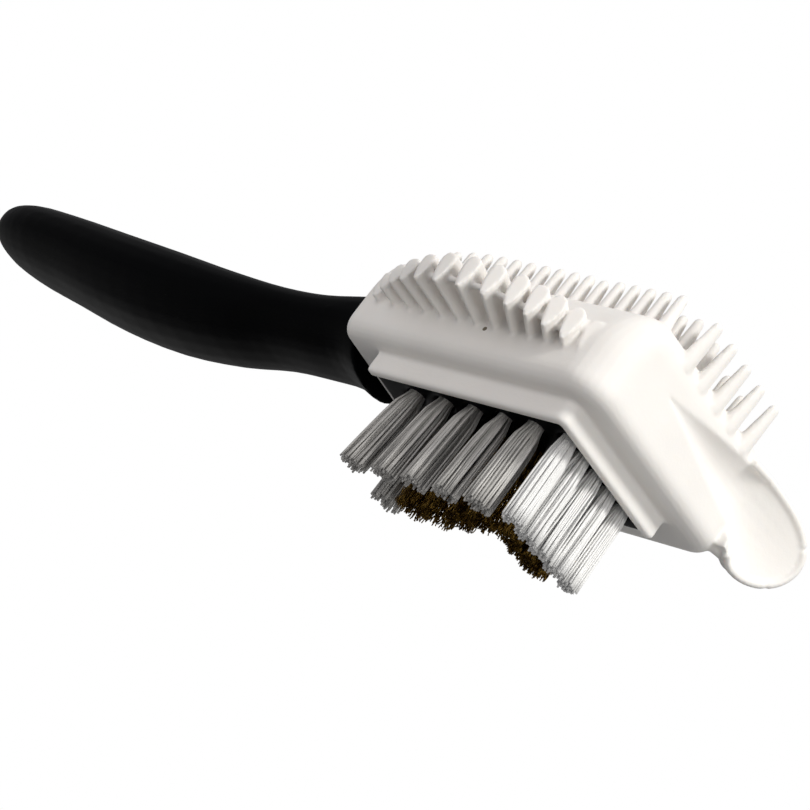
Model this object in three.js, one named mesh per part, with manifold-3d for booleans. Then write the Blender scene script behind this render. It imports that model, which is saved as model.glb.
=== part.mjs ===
// Four-way hand brush: a rigid handle core, a rubber head cover with pins, fins and a scraper lip,
// and nylon and brass tufts held in blind holes by flat wire anchors.
// Millimetres, +Z up. The bristle tips stand on Z = 0, the handle points along -X, and the origin is
// the middle of the corner tuft's tip. Sizes below count from the corner of the rim under the head.
import * as THREE from "three";
import { mergeVertices } from "three/addons/utils/BufferGeometryUtils.js";
import Module from "manifold-3d";

const wasm = await Module();
wasm.setup();

// ---- Driving dimensions ----
const GAP = 0.3; // clearance between neighbouring pieces
const OVERLAP = 1; // how far joined solids reach into each other
const LEAN = 0.09; // the front leg runs this much forward for each millimetre sideways

// Levels above the bristle tips
const RIM_BOTTOM = 15.1;
const CORE_BOTTOM = 16.5;
const COVER_BOTTOM = 19.2;
const CORE_SHOULDER = 21.4;
const WALL_TOP = 27.5;
const CORE_TOP = 33.2;
const COVER_TOP = 39.1;

// Plan of the cover's outer walls, an L with its corner at the near front
const NEAR_WALL = -5.3;
const FRONT_WALL = 5.3; // at the near rim line
const FAR_END = 38;
const INNER_WALL = -17.5;
const FAR_WALL = 22;
const REAR_WALL = -51;
const RIM_LINE = -1;

// Corner radii of that plan, in the order of its vertices
const CORNER_RADII = { rearNear: 2.5, nearFront: 7, frontEnd: 5, endInner: 6, notch: 9, rearFar: 4 };
const CORNER_STEPS = 7;
const LEAST_RADIUS = 0.6;

// Fins fan out along the near shoulder and end on an arc. The first few are lower than the rest.
const FIN = { count: 13, first: -45.8, pitch: 3.575, bottom: 25.5, height: 6.3 };
const FIN_SECTION = { width: 2.8, edge: 0.6, belly: 0.3 }; // the belly is a share of the height
const FIN_ARC = { x: -24.8, y: 15.4, radius: 31 };
const FIN_FAN = { rear: -4, front: 24, from: 0.25, to: 0.75 }; // degrees, and shares of the row
const FIN_LEAN = 0.02; // inwards, for each millimetre up the end face
const FIN_ROOT = 2.5; // how far inside the near wall a fin starts
const FIN_FALL = { drop: 3, share: 0.5 };
const NUB = { radius: 0.6, level: 27.6, inset: 1.9, from: 4 };

const PIN_SIDES = 8;
const PIN_ROUND = { width: 0.7, drop: 0.3 }; // the ring below the top, as shares of the tip radius
const ROW_PIN = { height: 6.6, sunk: 1, baseRadius: 1.4, tipRadius: 0.95, tilt: 0, widening: 1 };
const COLUMN_PIN = { height: 7.9, sunk: 2, baseRadius: 1.35, tipRadius: 0.8, tilt: 0.16, widening: 1.45 };
const PIN_ROWS = { first: 1.3, pitch: 3.25, count: 16, y: 3.8, rowPitch: 5.6, rows: 3, rearMargin: 2 };
const PIN_COLUMNS = { y: 8.8, pitch: 4.95, count: 5, x: 4.9, columnPitch: 5.6, columns: 3, margin: 3 };

const RIM = { thickness: 1.9, rearEnd: -43.8, farEnd: 28.5, bevel: 0.7, corner: 1.2 };

const TUFT = { rootRadius: 1.5, rootTop: 24.2, flareFrom: 15.6, sides: 12 };
const HOLE = { radius: 1.8, top: 25.8, sides: 16, clear: 5 };
const ANCHOR = { length: 2.5, thickness: 0.45, height: 0.9 };

// Rows of tufts. Each tuft's tip stands off its root by its splay.
const NEAR_TUFTS = { x: -37.2, y: 5.8, pitch: 6.6, count: 5, tip: 2.5, splay: [-0.4, -1.9] };
const CORNER_TUFT = { x: -4.2, y: 7, tip: 2, splay: [0, 0] };
const FRONT_TUFTS = { x: -4.2, y: 7, pitch: 4.3, count: 4, tip: 2, splay: [0.8, -1] };
const REAR_TUFT = { x: -36.2, y: 13.4, tip: 2.7, splay: [-0.2, 0.2] };
const BRASS_ROW = { x: -30.2, y: 13.6, pitch: 5.6, count: 2, tip: 2.6 };
const BRASS_TURN = { x: -18.9, y: 12.4, pitch: 5.3, count: 2, tip: 2.3, step: -1.6 };
const BRASS_COLUMN = { x: -9, y: 13.3, pitch: 4.15, count: 3, tip: 2, splay: [0.3, -0.6] };

// ---- Materials ----
const materials = {
  plastic: new THREE.MeshStandardMaterial({ color: 0x0d0d0f, roughness: 0.38, metalness: 0 }),
  rubber: new THREE.MeshStandardMaterial({ color: 0xece8e0, roughness: 0.62, metalness: 0 }),
  nylon: new THREE.MeshStandardMaterial({ color: 0xdcdcd8, roughness: 0.35, metalness: 0 }),
  brass: new THREE.MeshStandardMaterial({ color: 0xa87a2c, roughness: 0.35, metalness: 1 }),
  steel: new THREE.MeshStandardMaterial({ color: 0xb9bcc0, roughness: 0.3, metalness: 1 }),
};

// ---- Mesh helpers ----
function solid(geometry) {
  const bare = geometry.index ? geometry.clone() : geometry;
  bare.deleteAttribute("normal");
  bare.deleteAttribute("uv");
  const merged = mergeVertices(bare, 1e-5);
  const mesh = new wasm.Mesh({
    numProp: 3,
    vertProperties: new Float32Array(merged.attributes.position.array),
    triVerts: new Uint32Array(merged.index.array),
  });
  return new wasm.Manifold(mesh);
}

function geometryOf(manifold) {
  const mesh = manifold.getMesh();
  const geometry = new THREE.BufferGeometry();
  geometry.setAttribute("position", new THREE.BufferAttribute(new Float32Array(mesh.vertProperties), 3));
  geometry.setIndex(new THREE.BufferAttribute(new Uint32Array(mesh.triVerts), 1));
  return geometry;
}

// Joins rings of equal length into one closed skin. Rings run anticlockwise as seen from the last one.
function loft(rings) {
  const count = rings[0].length;
  const positions = rings.flat().flatMap((point) => point.toArray());
  const index = [];
  for (let ring = 0; ring < rings.length - 1; ring += 1) {
    for (let step = 0; step < count; step += 1) {
      const here = ring * count + step;
      const next = ring * count + ((step + 1) % count);
      index.push(here, next, next + count, here, next + count, here + count);
    }
  }
  const last = (rings.length - 1) * count;
  for (const [a, b, c] of capTriangles(rings[0])) {
    index.push(c, b, a);
  }
  for (const [a, b, c] of capTriangles(rings.at(-1))) {
    index.push(last + a, last + b, last + c);
  }
  const geometry = new THREE.BufferGeometry();
  geometry.setAttribute("position", new THREE.Float32BufferAttribute(positions, 3));
  geometry.setIndex(index);
  return geometry;
}

// Triangles that close a nearly flat ring, found in the plane that it lies closest to.
function capTriangles(ring) {
  const normal = new THREE.Vector3();
  ring.forEach((point, i) => normal.add(point.clone().cross(ring[(i + 1) % ring.length])));
  const turn = new THREE.Quaternion().setFromUnitVectors(normal.normalize(), new THREE.Vector3(0, 0, 1));
  const flat = ring.map((point) => {
    const turned = point.clone().applyQuaternion(turn);
    return new THREE.Vector2(turned.x, turned.y);
  });
  return THREE.ShapeUtils.triangulateShape(flat, []);
}

// ---- Plan outline of the head ----
// Each side is a straight line with an outward normal, moved inwards by its own inset.
const SIDE_NAMES = ["near", "front", "end", "inner", "far", "rear"];

function planSides() {
  const front = new THREE.Vector2(1, -LEAN).normalize();
  return [
    { normal: new THREE.Vector2(0, -1), point: new THREE.Vector2(0, NEAR_WALL) },
    { normal: front, point: new THREE.Vector2(FRONT_WALL, RIM_LINE) },
    { normal: new THREE.Vector2(0, 1), point: new THREE.Vector2(0, FAR_END) },
    { normal: new THREE.Vector2(-1, 0), point: new THREE.Vector2(INNER_WALL, 0) },
    { normal: new THREE.Vector2(0, 1), point: new THREE.Vector2(0, FAR_WALL) },
    { normal: new THREE.Vector2(-1, 0), point: new THREE.Vector2(REAR_WALL, 0) },
  ];
}

function crossing(a, b) {
  const determinant = a.normal.x * b.normal.y - a.normal.y * b.normal.x;
  const x = (a.distance * b.normal.y - b.distance * a.normal.y) / determinant;
  const y = (b.distance * a.normal.x - a.distance * b.normal.x) / determinant;
  return new THREE.Vector2(x, y);
}

// The plan with its sides moved in by insets, anticlockwise from the rear near corner.
function planOutline(insets, radii = CORNER_RADII) {
  const sides = planSides().map((side, i) => ({
    normal: side.normal,
    distance: side.normal.dot(side.point) - insets[SIDE_NAMES[i]],
  }));
  const wanted = Object.values(radii);
  const count = sides.length;
  const outline = [];
  sides.forEach((after, corner) => {
    const beforeIndex = (corner + count - 1) % count;
    const before = sides[beforeIndex];
    const vertex = crossing(before, after);
    const convex = before.normal.x * after.normal.y - before.normal.y * after.normal.x > 0;
    const inset = (insets[SIDE_NAMES[beforeIndex]] + insets[SIDE_NAMES[corner]]) / 2;
    const radius = convex ? Math.max(wanted[corner] - inset, LEAST_RADIUS) : wanted[corner] + inset;
    outline.push(...filletPoints(vertex, before.normal, after.normal, radius, convex));
  });
  return outline;
}

function filletPoints(vertex, before, after, radius, convex) {
  const sign = convex ? -1 : 1;
  const bisector = before.clone().add(after).multiplyScalar(sign);
  const reach = radius / (1 + before.dot(after));
  const centre = vertex.clone().addScaledVector(bisector, reach);
  const start = Math.atan2(before.y, before.x) + (convex ? 0 : Math.PI);
  const sweep = Math.atan2(before.x * after.y - before.y * after.x, before.dot(after));
  const points = [];
  for (let step = 0; step <= CORNER_STEPS; step += 1) {
    const angle = start + (sweep * step) / CORNER_STEPS;
    const spoke = new THREE.Vector2(Math.cos(angle), Math.sin(angle)).multiplyScalar(radius);
    points.push(centre.clone().add(spoke));
  }
  return points;
}

function evenInsets(inset, changes = {}) {
  return { near: inset, front: inset, end: inset, inner: inset, far: inset, rear: inset, ...changes };
}

function atHeight(outline, z) {
  return outline.map((point) => new THREE.Vector3(point.x, point.y, z));
}

function prism(outline, bottom, top) {
  return loft([atHeight(outline, bottom), atHeight(outline, top)]);
}

// ---- Cover ----
// How far each wall has turned in at a height on its shoulder: a quarter ellipse, wide by high.
const SHOULDERS = {
  near: [9.5, COVER_TOP - WALL_TOP],
  front: [4, 6],
  end: [4, 6],
  inner: [4, 6],
  far: [8, 10],
  rear: [14, 3.2],
};
const LOWER_ROUND = 3;
const LOWER_STEPS = 5;
const SHOULDER_STEPS = 12;

function shoulderInset(side, z) {
  const [width, height] = SHOULDERS[side];
  const rise = THREE.MathUtils.clamp((z - COVER_TOP + height) / height, 0, 1);
  return width * (1 - Math.sqrt(1 - rise * rise));
}

function coverBody() {
  const rings = [];
  for (let step = 0; step <= LOWER_STEPS; step += 1) {
    const angle = (step / LOWER_STEPS) * (Math.PI / 2);
    const inset = LOWER_ROUND * (1 - Math.sin(angle));
    const z = COVER_BOTTOM + LOWER_ROUND * (1 - Math.cos(angle));
    rings.push(atHeight(planOutline(evenInsets(inset, { rear: inset / 2 })), z));
  }
  for (let step = 0; step <= SHOULDER_STEPS; step += 1) {
    const share = Math.sin((step / SHOULDER_STEPS) * (Math.PI / 2));
    const z = WALL_TOP + (COVER_TOP - WALL_TOP) * share;
    const insets = {};
    SIDE_NAMES.forEach((side) => {
      insets[side] = shoulderInset(side, z);
    });
    rings.push(atHeight(planOutline(insets), z));
  }
  return solid(loft(rings));
}

// Highest point of the cover's skin above a place in plan, from the shoulders of its sides.
function coverTopAt(x, y) {
  let lowest = COVER_TOP;
  planSides().forEach((side, i) => {
    const [width, height] = SHOULDERS[SIDE_NAMES[i]];
    const depth = side.normal.dot(side.point) - (side.normal.x * x + side.normal.y * y);
    const inRearLeg = x < INNER_WALL && (SIDE_NAMES[i] === "end" || SIDE_NAMES[i] === "inner");
    const inFrontLeg = x > INNER_WALL && SIDE_NAMES[i] === "far";
    if (depth < width && !inRearLeg && !inFrontLeg) {
      const run = 1 - Math.max(depth, 0) / width;
      lowest = Math.min(lowest, COVER_TOP - height * (1 - Math.sqrt(1 - run * run)));
    }
  });
  return lowest;
}

function rimRail() {
  const along = (y) => LEAN * (y - RIM_LINE);
  const half = RIM.thickness / 2;
  const shape = new THREE.Shape();
  const inset = RIM.bevel;
  const near = RIM_LINE + inset;
  const inner = RIM_LINE + RIM.thickness - inset;
  const front = -inset;
  const back = -RIM.thickness + inset;
  shape.moveTo(RIM.rearEnd + half, near);
  shape.lineTo(front - RIM.corner, near);
  shape.quadraticCurveTo(front, near, front + along(near + RIM.corner), near + RIM.corner);
  shape.lineTo(front + along(RIM.farEnd), RIM.farEnd - half);
  shape.lineTo(back + along(RIM.farEnd), RIM.farEnd - half);
  shape.lineTo(back + along(inner), inner);
  shape.lineTo(RIM.rearEnd + half, inner);
  shape.closePath();
  const geometry = new THREE.ExtrudeGeometry(shape, {
    depth: COVER_BOTTOM + OVERLAP - RIM_BOTTOM,
    bevelEnabled: true,
    bevelThickness: RIM.bevel,
    bevelSize: RIM.bevel,
    bevelSegments: 3,
    curveSegments: 4,
  });
  geometry.translate(0, 0, RIM_BOTTOM + RIM.bevel);
  return solid(geometry);
}

// A fin's section: a drop with its thin edge down, as points across (x) and up (y).
function finSection() {
  const half = FIN_SECTION.width / 2;
  const edge = FIN_SECTION.edge / 2;
  const belly = FIN.height * FIN_SECTION.belly;
  const shape = new THREE.Shape();
  shape.moveTo(-edge, 0);
  shape.lineTo(edge, 0);
  shape.quadraticCurveTo(half, belly, half, FIN.height - half);
  shape.absarc(0, FIN.height - half, half, 0, Math.PI, false);
  shape.quadraticCurveTo(-half, belly, -edge, 0);
  return shape.getPoints(4).slice(0, -1);
}

// Where a fin starts, the ways it points, and how far it reaches to the arc.
function finPlan(index) {
  const share = index / (FIN.count - 1);
  const fanned = THREE.MathUtils.smoothstep(share, FIN_FAN.from, FIN_FAN.to);
  const turn = THREE.MathUtils.degToRad(THREE.MathUtils.lerp(FIN_FAN.rear, FIN_FAN.front, fanned));
  const root = new THREE.Vector2(FIN.first + FIN.pitch * index, NEAR_WALL + FIN_ROOT);
  const outward = new THREE.Vector2(Math.sin(turn), -Math.cos(turn));
  const across = new THREE.Vector2(Math.cos(turn), Math.sin(turn));
  const fromCentre = root.clone().sub(new THREE.Vector2(FIN_ARC.x, FIN_ARC.y));
  const b = fromCentre.dot(outward);
  const reach = -b + Math.sqrt(b * b - fromCentre.lengthSq() + FIN_ARC.radius ** 2);
  return { share, root, outward, across, reach };
}

function fin(index) {
  const { share, root, outward, across, reach } = finPlan(index);
  const fall = FIN_FALL.drop * (1 - THREE.MathUtils.smoothstep(share, 0, FIN_FALL.share));
  const end = (far) =>
    finSection().map((point) => {
      const height = (point.y * (FIN.height - fall)) / FIN.height;
      const out = far ? reach - FIN_LEAN * height : 0;
      const place = root.clone().addScaledVector(outward, out).addScaledVector(across, point.x);
      return new THREE.Vector3(place.x, place.y, FIN.bottom + height);
    });
  return solid(loft([end(false), end(true)]));
}

// A small round web that ties a fin to the next one, just inside their ends.
function nub(index) {
  const [here, next] = [index, index + 1].map((i) => {
    const { root, outward, reach } = finPlan(i);
    const place = root.addScaledVector(outward, reach - NUB.inset);
    return new THREE.Vector3(place.x, place.y, NUB.level);
  });
  const bar = new THREE.CylinderGeometry(NUB.radius, NUB.radius, here.distanceTo(next), PIN_SIDES);
  const along = next.clone().sub(here).normalize();
  bar.applyQuaternion(new THREE.Quaternion().setFromUnitVectors(new THREE.Vector3(0, 1, 0), along));
  const middle = here.add(next).multiplyScalar(0.5);
  bar.translate(middle.x, middle.y, middle.z);
  return solid(bar);
}

function pin(x, y, { height, sunk, baseRadius, tipRadius, tilt, widening }) {
  const top = height + sunk;
  const profile = [
    new THREE.Vector2(0, 0),
    new THREE.Vector2(baseRadius, 0),
    new THREE.Vector2(tipRadius, top - tipRadius),
    new THREE.Vector2(tipRadius * PIN_ROUND.width, top - tipRadius * PIN_ROUND.drop),
    new THREE.Vector2(0, top),
  ];
  const geometry = new THREE.LatheGeometry(profile, PIN_SIDES);
  geometry.rotateX(Math.PI / 2);
  geometry.scale(1, widening, 1);
  geometry.rotateY(tilt);
  geometry.translate(x, y, coverTopAt(x, y) - sunk);
  return solid(geometry);
}

function pins() {
  const made = [];
  for (let row = 0; row < PIN_ROWS.rows; row += 1) {
    for (let index = 0; index < PIN_ROWS.count; index += 1) {
      const y = PIN_ROWS.y + PIN_ROWS.rowPitch * row;
      const x = PIN_ROWS.first - PIN_ROWS.pitch * index + LEAN * (y - PIN_ROWS.y);
      if (x > REAR_WALL + PIN_ROWS.rearMargin) {
        made.push(pin(x, y, ROW_PIN));
      }
    }
  }
  const lastRow = PIN_ROWS.y + PIN_ROWS.rowPitch * (PIN_ROWS.rows - 1);
  for (let column = 0; column < PIN_COLUMNS.columns; column += 1) {
    for (let index = 0; index < PIN_COLUMNS.count; index += 1) {
      const y = PIN_COLUMNS.y + PIN_COLUMNS.pitch * index;
      const x = PIN_COLUMNS.x + LEAN * (y - PIN_COLUMNS.y) - PIN_COLUMNS.columnPitch * column;
      if (column === 0 || y > lastRow + PIN_COLUMNS.margin) {
        made.push(pin(x, y, column === 0 ? COLUMN_PIN : ROW_PIN));
      }
    }
  }
  return made;
}

// ---- Scraper lip: a concave scoop in the front wall that runs out into a rounded tongue ----
const SCOOP = { apex: 8, apexLevel: 30, apexGap: 0.1, ridgeFall: 0.18, depth: 3, lipRise: 0.24, start: 0.08 };
const TONGUE = { root: 35, tip: 51.8, rootBottom: 21.4, rootTop: 36.6, tipLevel: 29.5, flare: 0.013 };
const TONGUE_EDGE = { power: 3.2, least: 0.012, thickness: 2.2, inside: 0.05, along: 14, across: 8 };
const CUTTER = { edge: 0.12, front: 30, past: 1, across: 10, along: 12, clear: 0.2 };

function wallX(y) {
  return FRONT_WALL + LEAN * (y - RIM_LINE);
}

function ridgeLevel(y) {
  return SCOOP.apexLevel - SCOOP.apexGap - SCOOP.ridgeFall * (y - SCOOP.apex);
}

function lipLevel(y) {
  return Math.min(SCOOP.apexLevel + SCOOP.lipRise * (y - SCOOP.apex), TONGUE.rootTop);
}

// X of the scoop's concave face at a place on it. Past its two edges the face stands clear of the wall.
function scoopX(y, z) {
  const grown = THREE.MathUtils.lerp(SCOOP.start, 1, THREE.MathUtils.smoothstep(y, SCOOP.apex, TONGUE.root));
  const low = y < TONGUE.root ? ridgeLevel(y) : ridgeLevel(TONGUE.root) - (y - TONGUE.root);
  const share = THREE.MathUtils.clamp((z - low) / (lipLevel(y) - low), -CUTTER.clear, 1 + CUTTER.clear);
  const out = TONGUE.flare * Math.max(y - TONGUE.root, 0) ** 2;
  return wallX(y) + out - SCOOP.depth * grown * Math.sin(Math.PI * share);
}

// A closed solid over a patch of the Y-Z plane, between two X surfaces.
function patchSolid(ys, lowAt, highAt, backAt, frontAt, across) {
  const rings = ys.map((y) => {
    const ring = [];
    for (let step = 0; step <= across; step += 1) {
      const z = lowAt(y) + ((highAt(y) - lowAt(y)) * step) / across;
      ring.push(new THREE.Vector3(frontAt(y, z), y, z));
    }
    for (let step = across; step >= 0; step -= 1) {
      const z = lowAt(y) + ((highAt(y) - lowAt(y)) * step) / across;
      ring.push(new THREE.Vector3(backAt(y, z), y, z));
    }
    return ring.reverse();
  });
  return solid(loft(rings));
}

function steps(from, to, count) {
  return Array.from({ length: count + 1 }, (_, i) => from + ((to - from) * i) / count);
}

function tongueEdges() {
  const length = TONGUE.tip - TONGUE.root;
  const along = (y) => (y - TONGUE.root) / length;
  const round = (y) => Math.sqrt(Math.max(1 - along(y) ** TONGUE_EDGE.power, TONGUE_EDGE.least));
  const low = (y) => TONGUE.tipLevel - (TONGUE.tipLevel - TONGUE.rootBottom) * round(y);
  const high = (y) => TONGUE.tipLevel + (TONGUE.rootTop - TONGUE.tipLevel) * round(y);
  return { low, high };
}

function tongue() {
  const { low, high } = tongueEdges();
  const shares = steps(0, 1, TONGUE_EDGE.along).map((t) => 1 - (1 - t) ** 2);
  const ys = shares.map((share) => THREE.MathUtils.lerp(TONGUE.root, TONGUE.tip, share));
  const front = (y, z) => scoopX(y, z) - TONGUE_EDGE.inside;
  const back = (y, z) => scoopX(y, z) - TONGUE_EDGE.thickness;
  return patchSolid(ys, low, high, back, front, TONGUE_EDGE.across);
}

function scoopCutter() {
  const past = (y) => CUTTER.edge * (lipLevel(y) - ridgeLevel(y));
  const low = (y) => ridgeLevel(y) - past(y);
  const high = (y) => lipLevel(y) + past(y);
  const ys = steps(SCOOP.apex, FAR_END + CUTTER.past, CUTTER.along);
  return patchSolid(ys, low, high, scoopX, () => CUTTER.front, CUTTER.across);
}

// ---- Core ----
const CORE_INSETS = evenInsets(4, { front: 6.6, end: 6.6, rear: -0.7 });
const PLINTH_INSETS = evenInsets(6.6, { front: 7.3, end: 9, inner: 5.5, far: 4.6 });
const PLINTH_RADII = { ...CORNER_RADII, notch: 4 };
const REAR_MOUTH = -8; // the cavity runs out through the rear wall
const HANDLE_RING = { sides: 24, lengthSteps: 33, squareness: 2.3 };
const HANDLE_STATIONS = [
  { x: -161, y: 8.3, z: 30.2, a: 0.6, b: 0.4 },
  { x: -160.2, y: 8.3, z: 30.1, a: 3.6, b: 2.6 },
  { x: -157.5, y: 8.3, z: 29.8, a: 6.3, b: 4.4 },
  { x: -150, y: 8.3, z: 29, a: 8.9, b: 5.8 },
  { x: -136, y: 8.3, z: 27.4, a: 10.3, b: 6.6 },
  { x: -120, y: 8.3, z: 25.4, a: 11, b: 7.3 },
  { x: -104, y: 8.3, z: 24.1, a: 11, b: 7.4 },
  { x: -88, y: 8.3, z: 23.8, a: 9.9, b: 6.6 },
  { x: -76, y: 8.3, z: 24.4, a: 8.9, b: 5.6 },
  { x: -66, y: 8.3, z: 24.8, a: 8.8, b: 5.75 },
  { x: -57, y: 8.3, z: 25.5, a: 9.2, b: 6.7 },
  { x: -51.3, y: 8.3, z: 25.2, a: 9.6, b: 8.2 },
];

function handle() {
  const curve = (key) =>
    new THREE.CatmullRomCurve3(HANDLE_STATIONS.map((s) => new THREE.Vector3(s.x, s[key], 0)));
  const curves = { y: curve("y"), z: curve("z"), a: curve("a"), b: curve("b") };
  const power = 2 / HANDLE_RING.squareness;
  const rings = steps(0, 1, HANDLE_RING.lengthSteps).map((t) => {
    const x = curves.y.getPoint(t).x;
    const [y, z, a, b] = ["y", "z", "a", "b"].map((key) => curves[key].getPoint(t).y);
    const ring = [];
    for (let step = 0; step < HANDLE_RING.sides; step += 1) {
      const angle = (step / HANDLE_RING.sides) * Math.PI * 2;
      const c = Math.cos(angle);
      const s = Math.sin(angle);
      const across = a * Math.sign(c) * Math.abs(c) ** power;
      const up = b * Math.sign(s) * Math.abs(s) ** power;
      ring.push(new THREE.Vector3(x, y + across, z + up));
    }
    return ring;
  });
  return solid(loft(rings));
}

function handleCore(places) {
  let core = handle()
    .add(solid(prism(planOutline(CORE_INSETS), CORE_SHOULDER, CORE_TOP)))
    .add(solid(prism(planOutline(PLINTH_INSETS, PLINTH_RADII), CORE_BOTTOM, CORE_SHOULDER + OVERLAP)));
  for (const place of places) {
    const bottom = CORE_BOTTOM - HOLE.clear;
    const hole = new THREE.CylinderGeometry(HOLE.radius, HOLE.radius, HOLE.top - bottom, HOLE.sides);
    hole.rotateX(Math.PI / 2);
    hole.translate(place.x, place.y, (HOLE.top + bottom) / 2);
    core = core.subtract(solid(hole));
  }
  return core;
}

function rubberCover() {
  let cover = coverBody().add(rimRail()).add(tongue());
  for (let index = 0; index < FIN.count; index += 1) {
    cover = cover.add(fin(index));
    if (index >= NUB.from && index < FIN.count - 1) {
      cover = cover.add(nub(index));
    }
  }
  for (const one of pins()) {
    cover = cover.add(one);
  }
  return cover.subtract(scoopCutter()).subtract(cavity()).subtract(mouth());
}

function loosened(insets) {
  return Object.fromEntries(Object.entries(insets).map(([side, inset]) => [side, inset - GAP]));
}

function cavity() {
  const outline = planOutline({ ...loosened(CORE_INSETS), rear: REAR_MOUTH });
  return solid(prism(outline, CORE_SHOULDER - GAP, CORE_TOP + GAP));
}

function mouth() {
  const outline = planOutline(loosened(PLINTH_INSETS), PLINTH_RADII);
  return solid(prism(outline, RIM_BOTTOM - HOLE.clear, CORE_SHOULDER));
}

// ---- Tufts ----
// A row of tuft places. Along the row, the splay grows from none at the corner to its full value.
function tuftRow({ x, y, pitch, count, tip, splay = [0, 0] }, step, splayAt) {
  return Array.from({ length: count }, (_, i) => ({
    x: x + step[0] * pitch * i,
    y: y + step[1] * pitch * i,
    tip,
    splay: splay.map((amount) => amount * splayAt(i)),
  }));
}

function tuftPlaces() {
  const front = tuftRow(FRONT_TUFTS, [LEAN, 1], (i) => (i + 1) / FRONT_TUFTS.count);
  front.forEach((place) => {
    place.x += LEAN * FRONT_TUFTS.pitch;
    place.y += FRONT_TUFTS.pitch;
  });
  const near = tuftRow(NEAR_TUFTS, [1, 0], (i) => 1 - i / NEAR_TUFTS.count);
  const nylon = [...near, CORNER_TUFT, ...front, REAR_TUFT];
  const brass = [
    ...tuftRow(BRASS_ROW, [1, 0], () => 1),
    ...tuftRow(BRASS_TURN, [1, BRASS_TURN.step / BRASS_TURN.pitch], () => 1),
    ...tuftRow(BRASS_COLUMN, [LEAN, 1], (i) => i / BRASS_COLUMN.count),
  ];
  return { nylon, brass };
}

// A bundle that leaves its hole as a straight cylinder and spreads below it to the tip.
function tuftGeometry({ tip, splay }) {
  const profile = [
    new THREE.Vector2(0, 0),
    new THREE.Vector2(tip, 0),
    new THREE.Vector2(TUFT.rootRadius, TUFT.flareFrom),
    new THREE.Vector2(TUFT.rootRadius, TUFT.rootTop),
    new THREE.Vector2(0, TUFT.rootTop),
  ];
  const geometry = new THREE.LatheGeometry(profile, TUFT.sides);
  geometry.rotateX(Math.PI / 2);
  const points = geometry.attributes.position;
  for (let i = 0; i < points.count; i += 1) {
    const below = Math.max(1 - points.getZ(i) / TUFT.flareFrom, 0);
    points.setXY(i, points.getX(i) + splay[0] * below, points.getY(i) + splay[1] * below);
  }
  return geometry;
}

// ---- Assembly ----
const brush = new THREE.Group();
brush.position.set(-CORNER_TUFT.x, -CORNER_TUFT.y, 0);

function addPiece(name, geometry, material, position = { x: 0, y: 0 }) {
  const mesh = new THREE.Mesh(geometry, material.clone());
  mesh.name = name;
  mesh.position.set(position.x, position.y, 0);
  brush.add(mesh);
}

const { nylon, brass } = tuftPlaces();
const numbered = (word, index) => `${word}_${String(index + 1).padStart(2, "0")}`;

addPiece("handle_core", geometryOf(handleCore([...nylon, ...brass])), materials.plastic);
addPiece("rubber_head_cover", geometryOf(rubberCover()), materials.rubber);
nylon.forEach((place, i) => addPiece(numbered("nylon_tuft", i), tuftGeometry(place), materials.nylon, place));
brass.forEach((place, i) => addPiece(numbered("brass_tuft", i), tuftGeometry(place), materials.brass, place));
[...nylon, ...brass].forEach((place, i) => {
  const anchor = new THREE.BoxGeometry(ANCHOR.length, ANCHOR.thickness, ANCHOR.height);
  anchor.translate(0, 0, TUFT.rootTop + GAP + ANCHOR.height / 2);
  addPiece(numbered("tuft_anchor", i), anchor, materials.steel, place);
});

export default brush;
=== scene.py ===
"""A four-way hand brush: black handle, white rubber head, nylon and brass bristles, in a plain studio."""

import math
import random

import bmesh
import bpy
from mathutils import Matrix, Vector


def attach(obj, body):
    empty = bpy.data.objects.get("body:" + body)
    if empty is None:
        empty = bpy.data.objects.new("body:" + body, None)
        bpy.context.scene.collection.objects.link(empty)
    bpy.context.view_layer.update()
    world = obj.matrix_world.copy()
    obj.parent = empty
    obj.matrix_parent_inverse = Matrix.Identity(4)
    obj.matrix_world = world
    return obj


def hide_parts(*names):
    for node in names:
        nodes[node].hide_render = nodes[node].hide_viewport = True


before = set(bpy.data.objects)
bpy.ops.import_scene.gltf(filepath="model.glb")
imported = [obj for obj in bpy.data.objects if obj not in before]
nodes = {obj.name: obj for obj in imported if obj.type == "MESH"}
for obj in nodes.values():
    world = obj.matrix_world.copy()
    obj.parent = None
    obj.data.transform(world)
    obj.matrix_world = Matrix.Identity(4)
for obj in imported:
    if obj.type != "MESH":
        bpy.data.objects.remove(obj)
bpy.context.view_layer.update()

MM = 0.001
BODY = "root"


# ---- Camera: the photograph's viewing angle, from below the bristles, rolled to its framing ----
CAMERA_TARGET = Vector((-0.0003, -0.0320, -0.0032))
CAMERA_DISTANCE = 0.44
CAMERA_AZIMUTH = 47.52
CAMERA_ELEVATION = -21.19
CAMERA_ROLL = 36.67
LENS = 133.4
CLIP_START = 0.01


def make_camera():
    azimuth, elevation = math.radians(CAMERA_AZIMUTH), math.radians(CAMERA_ELEVATION)
    flat = math.cos(elevation)
    back = Vector((math.sin(azimuth) * flat, -math.cos(azimuth) * flat, math.sin(elevation)))
    data = bpy.data.cameras.new("camera")
    data.lens = LENS
    data.clip_start = CLIP_START
    camera = bpy.data.objects.new("camera", data)
    level = (-back).to_track_quat("-Z", "Y").to_matrix()
    turned = level @ Matrix.Rotation(math.radians(CAMERA_ROLL), 3, "Z")
    camera.matrix_world = Matrix.Translation(CAMERA_TARGET + back * CAMERA_DISTANCE) @ turned.to_4x4()
    bpy.context.collection.objects.link(camera)
    bpy.context.scene.camera = camera


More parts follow.
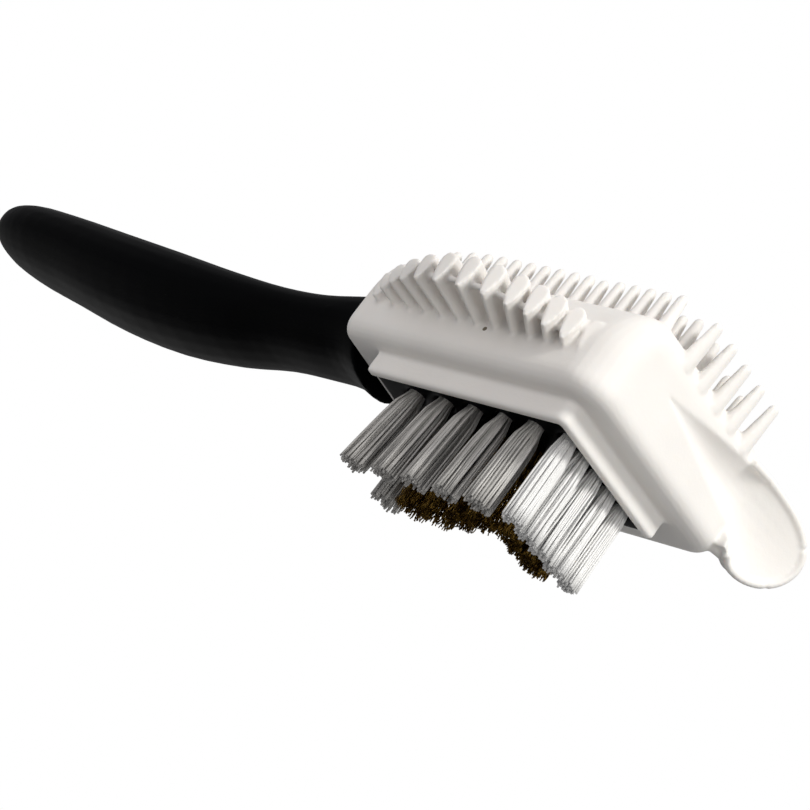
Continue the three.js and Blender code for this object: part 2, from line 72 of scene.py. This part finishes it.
# ---- Studio: a white backdrop, a world that lights more from above, and three soft lamps ----
WORLD_TINT = (0.98, 0.98, 1, 1)
WORLD_BELOW, WORLD_ABOVE = 0.12, 0.54
KEY_PLACE, KEY_POWER, KEY_SIZE = (0.80, -0.16, 0.60), 7.3, 0.3
FILL_PLACE, FILL_POWER, FILL_SIZE = (-0.15, -0.95, 0.10), 2.8, 0.8
LOW_PLACE, LOW_POWER, LOW_SIZE = (0.90, -0.12, -0.16), 2.2, 0.5
KEY_TARGET, FILL_TARGET, LOW_TARGET = (0, 0, 0.03), (-0.02, 0, 0.02), (0, 0, 0.02)
WARM_LIGHT, ROSY_LIGHT = (1, 0.99, 0.96), (1, 0.975, 0.97)
FLOOR_REACH, FLOOR_LEVEL = 3.0, -0.0004
FLOOR_COLOUR, FLOOR_ROUGHNESS = (0.86, 0.86, 0.85, 1), 0.75


def area_light(name, place, target, size, power, colour):
    data = bpy.data.lights.new(name, "AREA")
    data.shape = "DISK"
    data.size = size
    data.energy = power
    data.color = colour
    light = bpy.data.objects.new(name, data)
    light.location = place
    light.rotation_mode = "QUATERNION"
    light.rotation_quaternion = (Vector(target) - Vector(place)).to_track_quat("-Z", "Y")
    bpy.context.collection.objects.link(light)


def make_world():
    """Plain white where the backdrop is seen; the light that it gives rises from below to above."""
    world = bpy.data.worlds.new("studio")
    bpy.context.scene.world = world
    world.use_nodes = True
    tree = world.node_tree
    tree.nodes.clear()
    seen = tree.nodes.new("ShaderNodeBackground")
    seen.inputs["Color"].default_value = (1, 1, 1, 1)
    seen.inputs["Strength"].default_value = 1
    lit = tree.nodes.new("ShaderNodeBackground")
    lit.inputs["Color"].default_value = WORLD_TINT
    heading = tree.nodes.new("ShaderNodeTexCoord")
    parts = tree.nodes.new("ShaderNodeSeparateXYZ")
    rise = tree.nodes.new("ShaderNodeMapRange")
    rise.inputs["From Min"].default_value = -1
    rise.inputs["To Min"].default_value = WORLD_BELOW
    rise.inputs["To Max"].default_value = WORLD_ABOVE
    tree.links.new(heading.outputs["Generated"], parts.inputs["Vector"])
    tree.links.new(parts.outputs["Z"], rise.inputs["Value"])
    tree.links.new(rise.outputs["Result"], lit.inputs["Strength"])
    path = tree.nodes.new("ShaderNodeLightPath")
    mix = tree.nodes.new("ShaderNodeMixShader")
    out = tree.nodes.new("ShaderNodeOutputWorld")
    tree.links.new(path.outputs["Is Camera Ray"], mix.inputs["Fac"])
    tree.links.new(lit.outputs["Background"], mix.inputs[1])
    tree.links.new(seen.outputs["Background"], mix.inputs[2])
    tree.links.new(mix.outputs["Shader"], out.inputs["Surface"])


def make_floor():
    """A pale floor under the bristle tips. It is one-sided, because the main view looks up from below it."""
    mesh = bpy.data.meshes.new("floor")
    reach, level = FLOOR_REACH, FLOOR_LEVEL
    corners = [(-reach, -reach, level), (reach, -reach, level), (reach, reach, level), (-reach, reach, level)]
    mesh.from_pydata(corners, [], [(0, 1, 2, 3)])
    floor = bpy.data.objects.new("floor", mesh)
    bpy.context.collection.objects.link(floor)
    material = bpy.data.materials.new("floor_paint")
    material.use_nodes = True
    tree = material.node_tree
    paint = tree.nodes["Principled BSDF"]
    paint.inputs["Base Color"].default_value = FLOOR_COLOUR
    paint.inputs["Roughness"].default_value = FLOOR_ROUGHNESS
    clear = tree.nodes.new("ShaderNodeBsdfTransparent")
    side = tree.nodes.new("ShaderNodeNewGeometry")
    mix = tree.nodes.new("ShaderNodeMixShader")
    tree.links.new(side.outputs["Backfacing"], mix.inputs["Fac"])
    tree.links.new(paint.outputs["BSDF"], mix.inputs[1])
    tree.links.new(clear.outputs["BSDF"], mix.inputs[2])
    tree.links.new(mix.outputs["Shader"], tree.nodes["Material Output"].inputs["Surface"])
    mesh.materials.append(material)
    floor.visible_shadow = False
    floor.visible_diffuse = False


def make_studio():
    bpy.context.scene.view_settings.view_transform = "Standard"
    make_world()
    make_floor()
    area_light("key", KEY_PLACE, KEY_TARGET, KEY_SIZE, KEY_POWER, WARM_LIGHT)
    area_light("fill", FILL_PLACE, FILL_TARGET, FILL_SIZE, FILL_POWER, ROSY_LIGHT)
    area_light("low", LOW_PLACE, LOW_TARGET, LOW_SIZE, LOW_POWER, WARM_LIGHT)


# ---- Material helper ----
class Nodes:
    """A material with short calls to add and link its shader nodes."""

    def __init__(self, name):
        self.material = bpy.data.materials.new(name)
        self.material.use_nodes = True
        self.tree = self.material.node_tree
        self.shader = self.tree.nodes["Principled BSDF"]
        self.place = self.tree.nodes.new("ShaderNodeTexCoord").outputs["Object"]

    def set(self, **values):
        for key, value in values.items():
            self.shader.inputs[key.replace("_", " ")].default_value = value

    def link(self, source, socket):
        self.tree.links.new(source, self.shader.inputs[socket])

    def noise(self, scale, detail=3.0, roughness=0.5, stretch=(1, 1, 1)):
        mapping = self.tree.nodes.new("ShaderNodeMapping")
        mapping.inputs["Scale"].default_value = stretch
        self.tree.links.new(self.place, mapping.inputs["Vector"])
        texture = self.tree.nodes.new("ShaderNodeTexNoise")
        texture.inputs["Scale"].default_value = scale
        texture.inputs["Detail"].default_value = detail
        texture.inputs["Roughness"].default_value = roughness
        self.tree.links.new(mapping.outputs["Vector"], texture.inputs["Vector"])
        return texture.outputs["Fac"]

    def ramp(self, source, stops):
        ramp = self.tree.nodes.new("ShaderNodeValToRGB")
        for element, (position, colour) in zip(ramp.color_ramp.elements, stops):
            element.position = position
            element.color = (*colour, 1)
        self.tree.links.new(source, ramp.inputs["Fac"])
        return ramp.outputs["Color"]

    def span(self, source, low, high):
        scaled = self.tree.nodes.new("ShaderNodeMapRange")
        scaled.inputs["To Min"].default_value = low
        scaled.inputs["To Max"].default_value = high
        self.tree.links.new(source, scaled.inputs["Value"])
        return scaled.outputs["Result"]

    def specks(self, scale, chance, size):
        """1 inside small dots in a few of the cells of a Voronoi pattern, and 0 elsewhere."""
        cells = self.tree.nodes.new("ShaderNodeTexVoronoi")
        cells.inputs["Scale"].default_value = scale
        self.tree.links.new(self.place, cells.inputs["Vector"])
        split = self.tree.nodes.new("ShaderNodeSeparateColor")
        self.tree.links.new(cells.outputs["Color"], split.inputs["Color"])
        rare = self.calculate("GREATER_THAN", split.outputs["Red"], chance)
        small = self.calculate("LESS_THAN", cells.outputs["Distance"], size)
        return self.calculate("MULTIPLY", rare, small)

    def calculate(self, operation, first, second):
        """A maths node on a socket and either a second socket or a number."""
        node = self.tree.nodes.new("ShaderNodeMath")
        node.operation = operation
        self.tree.links.new(first, node.inputs[0])
        if isinstance(second, float):
            node.inputs[1].default_value = second
        else:
            self.tree.links.new(second, node.inputs[1])
        return node.outputs["Value"]

    def dotted(self, dots, ground, colour):
        mix = self.tree.nodes.new("ShaderNodeMix")
        mix.data_type = "RGBA"
        self.tree.links.new(dots, mix.inputs["Factor"])
        self.tree.links.new(ground, mix.inputs[6])
        mix.inputs[7].default_value = (*colour, 1)
        return mix.outputs[2]

    def bump(self, source, distance, strength):
        bump = self.tree.nodes.new("ShaderNodeBump")
        bump.inputs["Distance"].default_value = distance
        bump.inputs["Strength"].default_value = strength
        self.tree.links.new(source, bump.inputs["Height"])
        self.tree.links.new(bump.outputs["Normal"], self.shader.inputs["Normal"])


# ---- Materials ----
RUBBER_DARK, RUBBER_LIGHT = (0.83, 0.80, 0.765), (0.88, 0.855, 0.82)
SPECK_COLOUR = (0.16, 0.13, 0.09)
SPECK_SCALE, SPECK_CHANCE, SPECK_SIZE = 230, 0.93, 0.11  # cells whose random number is above the chance
PLASTIC_DARK, PLASTIC_LIGHT = (0.0003, 0.0004, 0.0006), (0.0008, 0.0009, 0.0012)
# Darker tones for the near-side tufts: painted shade on the same white nylon, not a colour of their own
NYLON_PAINTED_SHADE_TONES = (0.44, 0.43, 0.41), (0.74, 0.72, 0.69)
WHITE_NYLON = (0.90, 0.895, 0.88), (0.99, 0.985, 0.975)
BRASS_DARK, BRASS_LIGHT = (0.10, 0.05, 0.01), (0.55, 0.35, 0.08)
STEEL_DARK, STEEL_LIGHT = (0.45, 0.45, 0.47), (0.66, 0.66, 0.68)
RUBBER_GRAIN, PLASTIC_GRAIN = 0.00004, 0.00002  # depth of the fine bumps, in metres


def rubber_material():
    rubber = Nodes("white_moulded_rubber")
    rubber.set(Subsurface_Weight=0.12, Subsurface_Scale=0.002, IOR=1.5, Subsurface_Radius=(1.0, 0.8, 0.6))
    tone = rubber.ramp(rubber.noise(45, 4), [(0.35, RUBBER_DARK), (0.68, RUBBER_LIGHT)])
    specks = rubber.specks(SPECK_SCALE, SPECK_CHANCE, SPECK_SIZE)
    rubber.link(rubber.dotted(specks, tone, SPECK_COLOUR), "Base Color")
    rubber.link(rubber.span(rubber.noise(260), 0.5, 0.68), "Roughness")
    rubber.bump(rubber.noise(1500, 4, 0.6), RUBBER_GRAIN, 0.6)
    return rubber.material


def handle_material():
    plastic = Nodes("black_moulded_plastic")
    plastic.set(IOR=1.49, Specular_IOR_Level=0.02)
    tone = plastic.ramp(plastic.noise(60), [(0.3, PLASTIC_DARK), (0.7, PLASTIC_LIGHT)])
    plastic.link(tone, "Base Color")
    plastic.link(plastic.span(plastic.noise(120, 4), 0.36, 0.46), "Roughness")
    plastic.bump(plastic.noise(1900, 3, 0.6), PLASTIC_GRAIN, 0.15)
    return plastic.material


def nylon_material(name, dark, light):
    nylon = Nodes(name)
    nylon.set(Transmission_Weight=0.12, IOR=1.53, Roughness=0.3)
    streaks = nylon.noise(900, 2, 0.5, (1, 1, 0.08))
    nylon.link(nylon.ramp(streaks, [(0.3, dark), (0.7, light)]), "Base Color")
    return nylon.material


def brass_material():
    brass = Nodes("brass_wire")
    brass.set(Metallic=1.0)
    worn = brass.noise(700)
    brass.link(brass.ramp(worn, [(0.38, BRASS_DARK), (0.72, BRASS_LIGHT)]), "Base Color")
    brass.link(brass.span(worn, 0.28, 0.45), "Roughness")
    return brass.material


def steel_material():
    steel = Nodes("anchor_steel")
    steel.set(Metallic=1.0)
    steel.link(steel.ramp(steel.noise(800, 2), [(0.3, STEEL_DARK), (0.7, STEEL_LIGHT)]), "Base Color")
    steel.link(steel.span(steel.noise(1200, 2), 0.25, 0.4), "Roughness")
    return steel.material


# ---- Mesh helpers ----
ROD_SIDES = 12
SOFTEN_FACTOR = 0.5


def new_piece(name, mesh, material, slot, *replaced):
    """An object with its material, on the brush's one body, that stands in for CAD nodes."""
    mesh.materials.clear()
    mesh.materials.append(material)
    piece = bpy.data.objects.new(name, mesh)
    bpy.context.collection.objects.link(piece)
    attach(piece, BODY)
    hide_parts(*replaced)
    return piece


def apply_modifiers(piece):
    depsgraph = bpy.context.evaluated_depsgraph_get()
    finished = bpy.data.meshes.new_from_object(piece.evaluated_get(depsgraph))
    piece.modifiers.clear()
    piece.data = finished


def softened(name, node, material, slot, voxel, rounds, rods=()):
    """A copy of a CAD node, joined to round rods, with its facets melted into one smooth moulded skin."""
    made = bmesh.new()
    made.from_mesh(nodes[node].data)
    for points, radius in rods:
        tube(made, points, radius, ROD_SIDES)
    mesh = bpy.data.meshes.new(name)
    made.to_mesh(mesh)
    made.free()
    piece = new_piece(name, mesh, material, slot, node)
    remesh = piece.modifiers.new("skin", "REMESH")
    remesh.mode = "VOXEL"
    remesh.voxel_size = voxel
    remesh.use_smooth_shade = True
    smooth = piece.modifiers.new("soften", "SMOOTH")
    smooth.factor = SOFTEN_FACTOR
    smooth.iterations = rounds
    apply_modifiers(piece)


def tube(made, points, radius, sides):
    """Adds a closed round strand along points to a bmesh."""
    rings = []
    for index, point in enumerate(points):
        before = points[max(index - 1, 0)]
        after = points[min(index + 1, len(points) - 1)]
        along = (after - before).normalized()
        side = along.orthogonal().normalized()
        up = along.cross(side)
        ring = []
        for step in range(sides):
            angle = 2 * math.pi * step / sides
            ring.append(made.verts.new(point + (side * math.cos(angle) + up * math.sin(angle)) * radius))
        rings.append(ring)
    for lower, upper in zip(rings, rings[1:]):
        for step in range(sides):
            after = (step + 1) % sides
            face = made.faces.new((lower[step], lower[after], upper[after], upper[step]))
            face.smooth = True
    made.faces.new(reversed(rings[0]))
    made.faces.new(rings[-1])


# ---- Scraper: a rounded lip along the tongue's edge, and the web that joins the tongue to the head ----
# scoop_face and tongue_edge work in millimetres, like the first four rows; the rest is in metres.
TONGUE_ROOT, TONGUE_TIP = 28.0, 44.8
TONGUE_TOP, TONGUE_MIDDLE, TONGUE_BOTTOM = 36.6, 29.5, 21.4
WALL_X, WALL_SLOPE, WALL_FROM = 9.5, 0.09, -8
SCOOP_DEPTH, SCOOP_LOW = 3.0, 25.0
TONGUE_POWER = 3.2  # roundness of the tongue's end: 2 would be an ellipse
TONGUE_FLARE = 0.013
LIP_RADIUS = 0.7 * MM
LIP_INSET = LIP_RADIUS / MM / 2  # in millimetres, behind the scooped face
LIP_FROM, LIP_TO, LIP_STEPS = 88, -88, 36  # degrees round the tongue's end, from its top to its underside
LIP_LEAD = Vector((0.0126, 0.0245, 0.0357))
WEB_RADIUS = 1.3 * MM
WEB_ENDS = [Vector((0.0112, 0.0290, 0.0219)), Vector((0.0122, 0.0325, 0.0224))]


def scoop_face(y, z):
    """X of the scraper's concave face in millimetres, on the same form as the CAD cover."""
    low = SCOOP_LOW - (y - TONGUE_ROOT)
    share = (z - low) / (TONGUE_TOP - low)
    wall = WALL_X + WALL_SLOPE * (y - WALL_FROM)
    return wall + TONGUE_FLARE * (y - TONGUE_ROOT) ** 2 - SCOOP_DEPTH * math.sin(math.pi * share)


def tongue_edge():
    """The tongue's front edge, from its top at the head round its end to its underside."""
    points = [LIP_LEAD]
    for step in range(LIP_STEPS + 1):
        angle = math.radians(LIP_FROM + (LIP_TO - LIP_FROM) * step / LIP_STEPS)
        half = TONGUE_TOP - TONGUE_MIDDLE if angle > 0 else TONGUE_MIDDLE - TONGUE_BOTTOM
        z = TONGUE_MIDDLE + half * math.sin(angle)
        y = TONGUE_ROOT + (TONGUE_TIP - TONGUE_ROOT) * math.cos(angle) ** (2 / TONGUE_POWER)
        points.append(Vector((scoop_face(y, z) - LIP_INSET, y, z)) * MM)
    return points


# ---- Tufts ----
CORE_BOTTOM = 16.5 * MM  # where a tuft leaves its hole
ROOT_LEVEL = 22 * MM
ROOT_RADIUS = 1.4 * MM
LEVEL_SLACK = 0.1 * MM
FLARE = 0.25  # below 1, a tuft widens mostly near its hole
WAVE_EASE = 4  # a strand's own wave grows to full size over this part of the free length: 1 / 4

NYLON_COUNT = 84
NYLON_RADIUS, NYLON_SIDES, NYLON_STEPS = 0.18 * MM, 7, 8
NYLON_BEND = 0.2 * MM
NYLON_LEAN = 0.3 * MM
NYLON_UNEVEN = 0.6 * MM
NYLON_SPREAD = 1.12  # the tips reach this many times as far as the CAD tuft's tip
FRONT_TUFTS = ["nylon_tuft_06", "nylon_tuft_07", "nylon_tuft_08", "nylon_tuft_09", "nylon_tuft_10"]

BRASS_COUNT = 150
BRASS_RADIUS, BRASS_SIDES, BRASS_STEPS = 0.1 * MM, 5, 30
BRASS_CRIMP, BRASS_PITCH = (0.14, 0.26), (2.2, 2.9)  # least and most, in millimetres
BRASS_UNEVEN = 0.35 * MM
BRASS_SPREAD = 1.25


def disc_point(draw, radius):
    angle = draw.uniform(0, 2 * math.pi)
    reach = radius * math.sqrt(draw.random())
    return Vector((math.cos(angle) * reach, math.sin(angle) * reach, 0))


def tuft_frame(node):
    """The middles of a tuft's root and tip, and the radius of its tip, from its CAD solid."""
    solid = nodes[node]
    corners = [solid.matrix_world @ vertex.co for vertex in solid.data.vertices]
    top, bottom = max(corner.z for corner in corners), min(corner.z for corner in corners)
    roots = [corner for corner in corners if top - corner.z < LEVEL_SLACK]
    tips = [corner for corner in corners if corner.z - bottom < LEVEL_SLACK]
    root, tip = middle_of(roots), middle_of(tips)
    return root, tip, max((corner - tip).length for corner in tips)


def middle_of(ring):
    low = Vector((min(corner.x for corner in ring), min(corner.y for corner in ring), 0))
    high = Vector((max(corner.x for corner in ring), max(corner.y for corner in ring), 0))
    return (low + high) / 2


def strand(root, tip, start, spread, level, wave):
    """A point of one strand at a level: straight in the hole, then fanning out to its place at the tip."""
    below = max((CORE_BOTTOM - level) / CORE_BOTTOM, 0)
    reach = ROOT_RADIUS + (spread - ROOT_RADIUS) * below ** FLARE
    point = root.lerp(tip, below) + start * reach + wave * min(below * WAVE_EASE, 1)
    point.z = level
    return point


def nylon_tuft(node, material, seed):
    """Nearly straight filaments that fan out as they leave the hole and end a little unevenly."""
    draw = random.Random(seed)
    root, tip, spread = tuft_frame(node)
    made = bmesh.new()
    for _ in range(NYLON_COUNT):
        start = disc_point(draw, 1.0)
        bend = disc_point(draw, NYLON_BEND)
        lean = disc_point(draw, NYLON_LEAN)
        end = draw.uniform(0.0, NYLON_UNEVEN)
        points = []
        for step in range(NYLON_STEPS + 1):
            share = step / NYLON_STEPS
            level = ROOT_LEVEL + (end - ROOT_LEVEL) * share
            wave = bend * math.sin(math.pi * share) + lean * share
            points.append(strand(root, tip, start, spread * NYLON_SPREAD - NYLON_LEAN, level, wave))
        tube(made, points, NYLON_RADIUS, NYLON_SIDES)
    finish_tuft(made, node, "filaments", material, "nylon_bristle")


def brass_tuft(node, material, seed):
    """Crimped brass wires, each with its own wave, that fan out as they leave the hole."""
    draw = random.Random(seed)
    root, tip, spread = tuft_frame(node)
    made = bmesh.new()
    for _ in range(BRASS_COUNT):
        start = disc_point(draw, 1.0)
        end = draw.uniform(0.0, BRASS_UNEVEN)
        heading = draw.uniform(0, 2 * math.pi)
        crimp = Vector((math.cos(heading), math.sin(heading), 0)) * draw.uniform(*BRASS_CRIMP) * MM
        phase, pitch = draw.uniform(0, 2 * math.pi), draw.uniform(*BRASS_PITCH) * MM
        points = []
        for step in range(BRASS_STEPS + 1):
            level = ROOT_LEVEL + (end - ROOT_LEVEL) * step / BRASS_STEPS
            wave = crimp * math.sin(phase + level / pitch * 2 * math.pi)
            points.append(strand(root, tip, start, spread * BRASS_SPREAD, level, wave))
        tube(made, points, BRASS_RADIUS, BRASS_SIDES)
    finish_tuft(made, node, "wires", material, "brass_wire")


def finish_tuft(made, node, word, material, slot):
    mesh = bpy.data.meshes.new(node)
    made.to_mesh(mesh)
    made.free()
    new_piece(node.replace("tuft", word), mesh, material, slot, node)


# ---- The brush ----
COVER_VOXEL, COVER_ROUNDS = 0.32 * MM, 3
HANDLE_VOXEL, HANDLE_ROUNDS = 0.45 * MM, 8


def make_brush():
    rods = [(tongue_edge(), LIP_RADIUS), (WEB_ENDS, WEB_RADIUS)]
    rubber = rubber_material()
    softened("head_cover", "rubber_head_cover", rubber, "head_rubber", COVER_VOXEL, COVER_ROUNDS, rods)
    softened("handle", "handle_core", handle_material(), "handle_plastic", HANDLE_VOXEL, HANDLE_ROUNDS)
    # The near-side tufts get the nylon darkened with painted shade; the front tufts keep the nylon's own
    # white
    nylon_painted_shade = nylon_material("nylon_with_painted_shade", *NYLON_PAINTED_SHADE_TONES)
    white_nylon = nylon_material("white_nylon", *WHITE_NYLON)
    brass, steel = brass_material(), steel_material()
    for seed, node in enumerate(sorted(nodes)):
        if node.startswith("nylon_tuft"):
            nylon_tuft(node, white_nylon if node in FRONT_TUFTS else nylon_painted_shade, seed)
        elif node.startswith("brass_tuft"):
            brass_tuft(node, brass, seed)
        elif node.startswith("tuft_anchor"):
            nodes[node].data.materials.clear()
            nodes[node].data.materials.append(steel)


make_camera()
make_studio()
make_brush()
